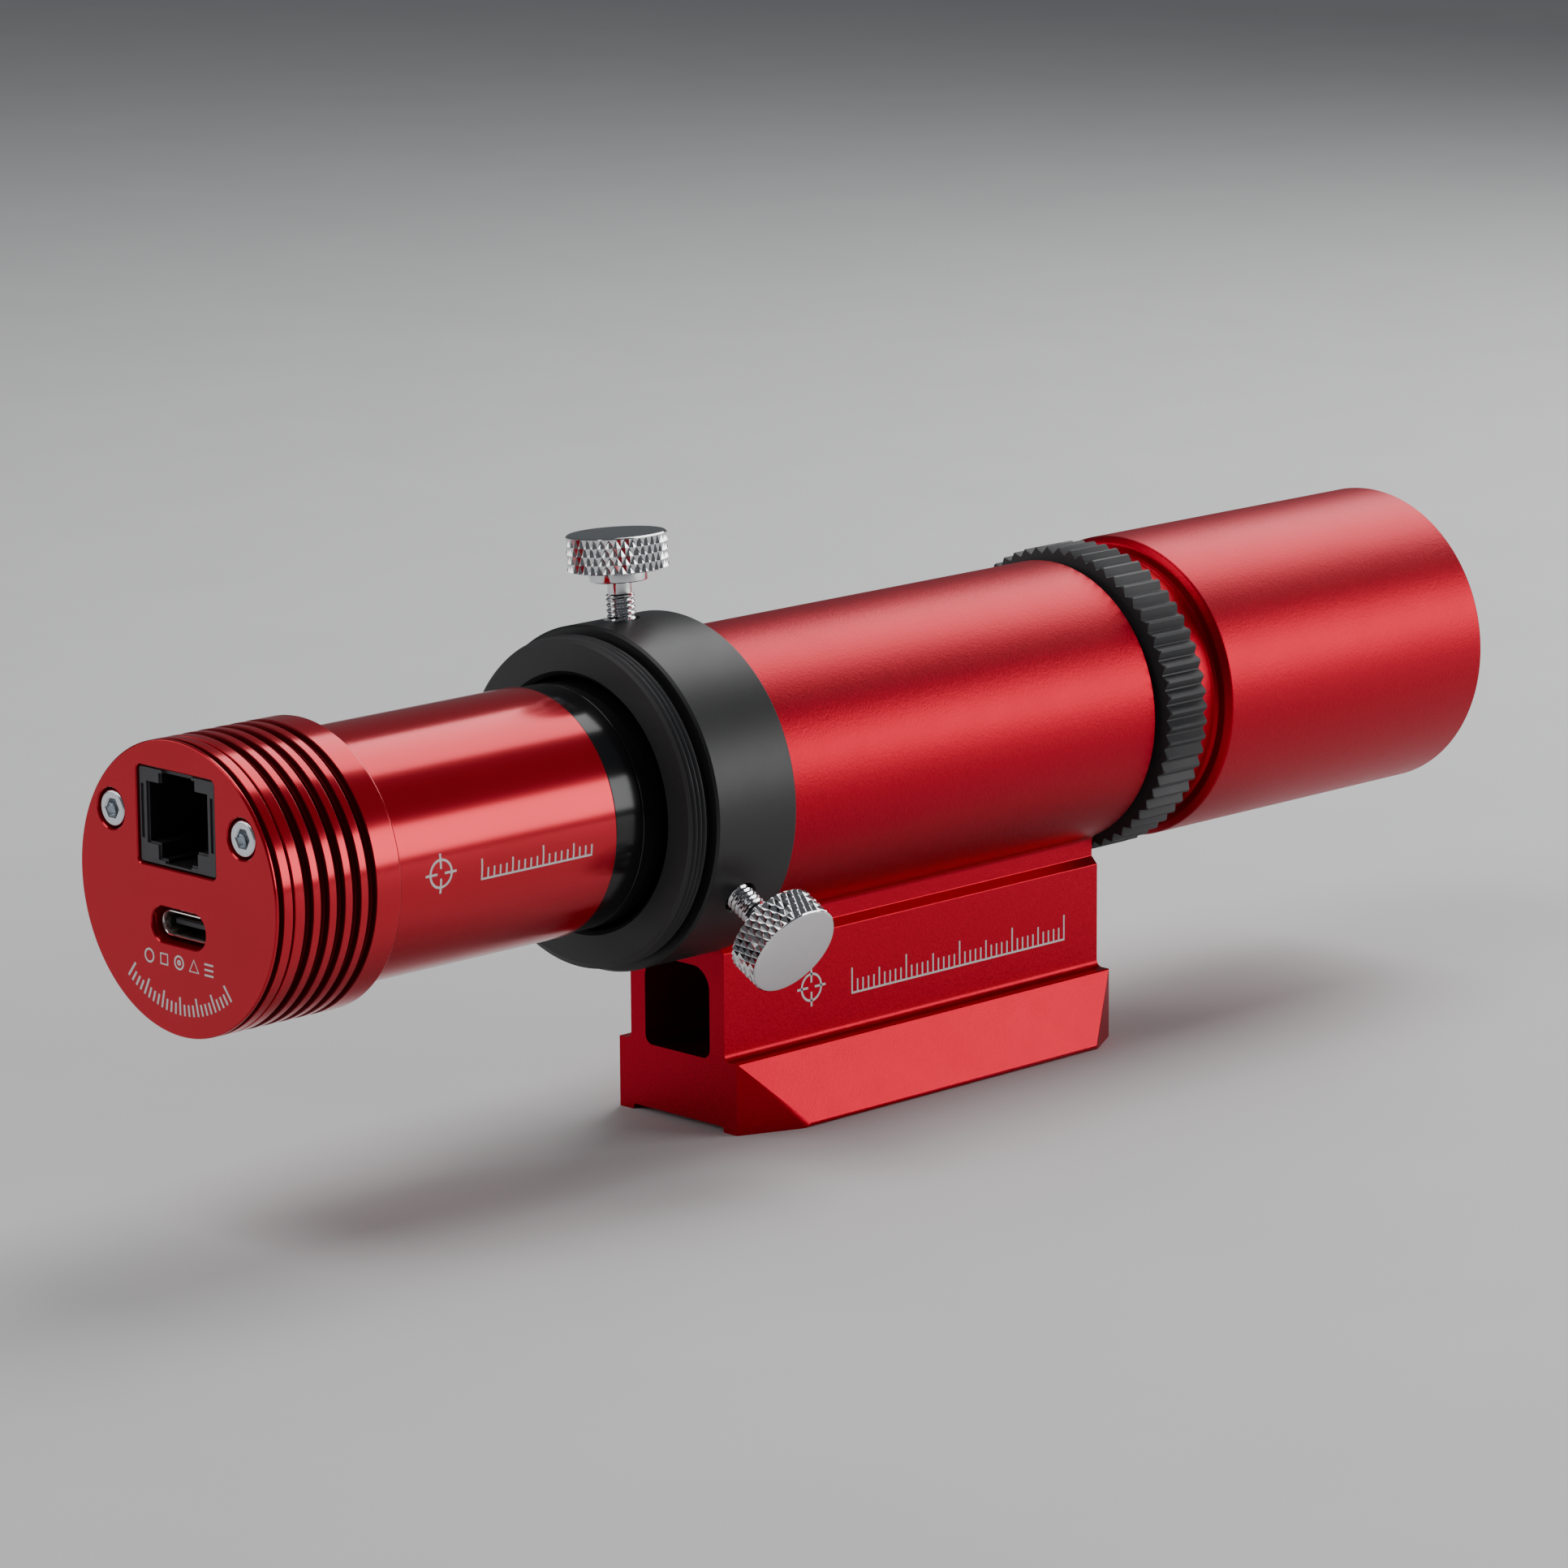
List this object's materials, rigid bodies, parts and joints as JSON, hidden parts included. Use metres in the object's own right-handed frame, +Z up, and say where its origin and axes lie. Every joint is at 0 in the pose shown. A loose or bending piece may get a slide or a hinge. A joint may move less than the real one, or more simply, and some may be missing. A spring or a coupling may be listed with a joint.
{
  "type": "guide camera",
  "caption": "Small cylindrical guide camera clamped by two thumbscrews in a guide scope with a dovetail foot, a lock ring and a screw-out dew shield for focus.",
  "frame": {"origin": "centre of the dovetail foot's underside, on the floor of its shallow channel", "axes": "+X along the optical axis towards the sky, +Z up from the foot to the tube, +Y to the left when looking along +X"},
  "size_m": [0.2162, 0.0542, 0.0777],
  "materials": {
    "satin_red": "fine turned, glossy red anodised",
    "blasted_red": "bead-blasted, matte red anodised",
    "black_anodised": "satin black anodised",
    "gloss_black": "gloss black anodised",
    "chrome": "polished, diamond knurled",
    "zinc": "bright zinc plated",
    "gold_plate": "gold plated",
    "brass": "machined",
    "black_plastic": "moulded, fine grain",
    "nylon": "natural nylon",
    "rubber": "matte",
    "board_green": "solder mask",
    "sensor_glass_black": "glossy",
    "cable": "polyimide film",
    "window_glass": "coated optical glass",
    "lens_glass": "coated optical glass"
  },
  "bodies": {
    "scope": {"scope_body": "blasted_red", "rear_collar": "black_anodised", "tube_baffle": "black_anodised"},
    "lens_group": {"flint_lens": "lens_glass", "crown_lens": "lens_glass", "lens_spacer": "black_anodised"},
    "focus_front": {"dew_shield": "blasted_red", "objective_cell": "black_anodised", "lens_retaining_ring": "black_anodised"},
    "lock_ring": {"lock_ring": "black_anodised"},
    "top_tip": {"thumbscrew_top_tip": "nylon"},
    "top_screw": {"thumbscrew_top": "chrome"},
    "side_tip": {"thumbscrew_side_tip": "nylon"},
    "side_screw": {"thumbscrew_side": "chrome"},
    "nosepiece": {"nosepiece_tube": "gloss_black"},
    "camera": {"camera_housing": "satin_red", "back_plate": "satin_red", "back_screw_left": "zinc", "back_screw_right": "zinc", "nose_ring": "gloss_black", "protective_window": "window_glass", "window_gasket": "rubber", "guide_port_jack": "black_plastic", "jack_contact_comb": "gold_plate", "usb_c_shell": "zinc", "usb_c_tongue": "black_plastic", "interface_board": "board_green", "sensor_board": "board_green", "image_sensor": "sensor_glass_black", "standoff_left": "brass", "standoff_right": "brass", "board_cable": "cable"}
  },
  "joints": [
    {"name": "focus_travel", "type": "slide", "parent": "scope", "child": "lens_group", "axis": [1, 0, 0], "range_m": [0, 0.0038]},
    {"name": "focus_turn", "type": "hinge", "parent": "lens_group", "child": "focus_front", "pos_m": [0.06, 0, 0.0436], "axis": [1, 0, 0], "range_deg": [0, 1800]},
    {"name": "lock_ring_turn", "type": "hinge", "parent": "scope", "child": "lock_ring", "pos_m": [0.0397, 0, 0.0436], "axis": [1, 0, 0], "range_deg": [-630, 0]},
    {"name": "top_screw_travel", "type": "slide", "parent": "scope", "child": "top_tip", "axis": [0, 0.0663, 0.9978], "range_m": [0, 0.0036]},
    {"name": "top_screw_turn", "type": "hinge", "parent": "top_tip", "child": "top_screw", "pos_m": [-0.042, 0.00166, 0.06854], "axis": [0, 0.0663, 0.9978], "range_deg": [0, 1800]},
    {"name": "side_screw_travel", "type": "slide", "parent": "scope", "child": "side_tip", "axis": [0, -0.8973, -0.4415], "range_m": [0, 0.0036]},
    {"name": "side_screw_turn", "type": "hinge", "parent": "side_tip", "child": "side_screw", "pos_m": [-0.042, -0.02243, 0.03256], "axis": [0, -0.8973, -0.4415], "range_deg": [0, 1800]},
    {"name": "camera_draw", "type": "slide", "parent": "scope", "child": "nosepiece", "axis": [1, 0, 0], "range_m": [-0.009, 0.016]},
    {"name": "camera_turn", "type": "hinge", "parent": "nosepiece", "child": "camera", "pos_m": [-0.08, 0, 0.0436], "axis": [1, 0, 0], "continuous": true}
  ],
  "couplings": [
    {"joint": "focus_travel", "follows": "focus_turn", "m_per_rad": 0.00011937},
    {"joint": "top_screw_travel", "follows": "top_screw_turn", "m_per_rad": 0.00011141},
    {"joint": "side_screw_travel", "follows": "side_screw_turn", "m_per_rad": 0.00011141}
  ]
}
